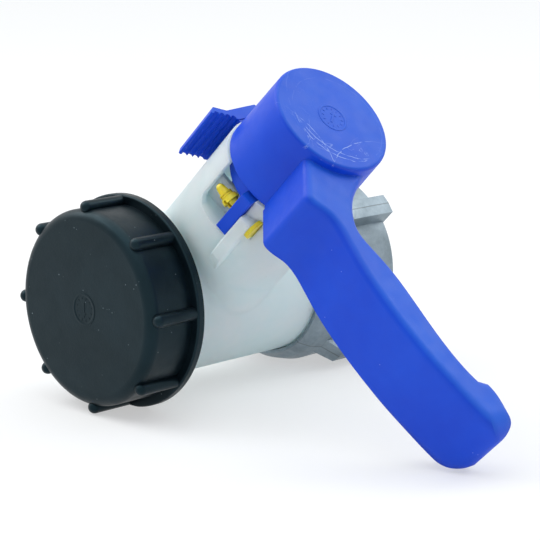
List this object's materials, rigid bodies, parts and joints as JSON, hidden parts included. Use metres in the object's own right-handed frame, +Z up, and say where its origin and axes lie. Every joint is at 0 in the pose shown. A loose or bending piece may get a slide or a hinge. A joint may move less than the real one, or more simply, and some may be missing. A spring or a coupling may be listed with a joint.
{
  "type": "butterfly valve",
  "caption": "Quarter-turn butterfly valve for a liquid container: white pipe body, blue hooked handle, black screw cap on the outlet and a lugged union nut on the inlet.",
  "frame": {"origin": "on the pipe axis, where the union nut's thread starts, 0.2 mm ahead of the inlet gasket's outer face", "axes": "+Y along the pipe into the container, outlet cap towards -Y; +Z up the stem; the closed handle reaches along +X"},
  "size_m": [0.1696, 0.1296, 0.1465],
  "materials": {
    "natural_plastic": "translucent moulded polyethylene",
    "black_plastic": "moulded polyethylene",
    "blue_plastic": "moulded, satin",
    "yellow_plastic": "moulded",
    "cast_aluminium": "die cast",
    "grey_plastic": "moulded, glass filled",
    "white_plastic": "moulded",
    "black_rubber": "moulded rubber",
    "spring_steel": "stamped"
  },
  "bodies": {
    "body": {"valve_body": "natural_plastic", "seal_pin": "yellow_plastic", "nut_ring": "grey_plastic", "inlet_gasket": "black_rubber"},
    "turner": {"handle": "blue_plastic", "stem": "grey_plastic", "upper_o_ring": "black_rubber", "lower_o_ring": "black_rubber", "stem_clip": "spring_steel", "disc": "white_plastic", "disc_seal": "black_rubber"},
    "lock": {"lock_slide": "blue_plastic"},
    "cap_lift": {"cap_gasket": "black_rubber"},
    "cap": {"screw_cap": "black_plastic"},
    "nut": {"union_nut": "cast_aluminium"}
  },
  "joints": [
    {"name": "handle_turn", "type": "hinge", "parent": "body", "child": "turner", "pos_m": [0, -0.0628, 0], "axis": [0, 0, 1], "range_deg": [-90, 0]},
    {"name": "lock_press", "type": "slide", "parent": "body", "child": "lock", "axis": [0.9744, 0.225, 0], "range_m": [-0.002, 0], "stiffness_N_per_m": 600, "springref_m": 0.002},
    {"name": "cap_travel", "type": "slide", "parent": "body", "child": "cap_lift", "axis": [0, -1, 0], "range_m": [0, 0.015]},
    {"name": "cap_turn", "type": "hinge", "parent": "cap_lift", "child": "cap", "pos_m": [0, -0.1028, 0], "axis": [0, -1, 0], "range_deg": [0, 900]},
    {"name": "nut_spin", "type": "hinge", "parent": "body", "child": "nut", "pos_m": [0, -0.0028, 0], "axis": [0, 1, 0], "continuous": true}
  ],
  "couplings": [
    {"joint": "cap_travel", "follows": "cap_turn", "m_per_rad": 0.00095493}
  ]
}
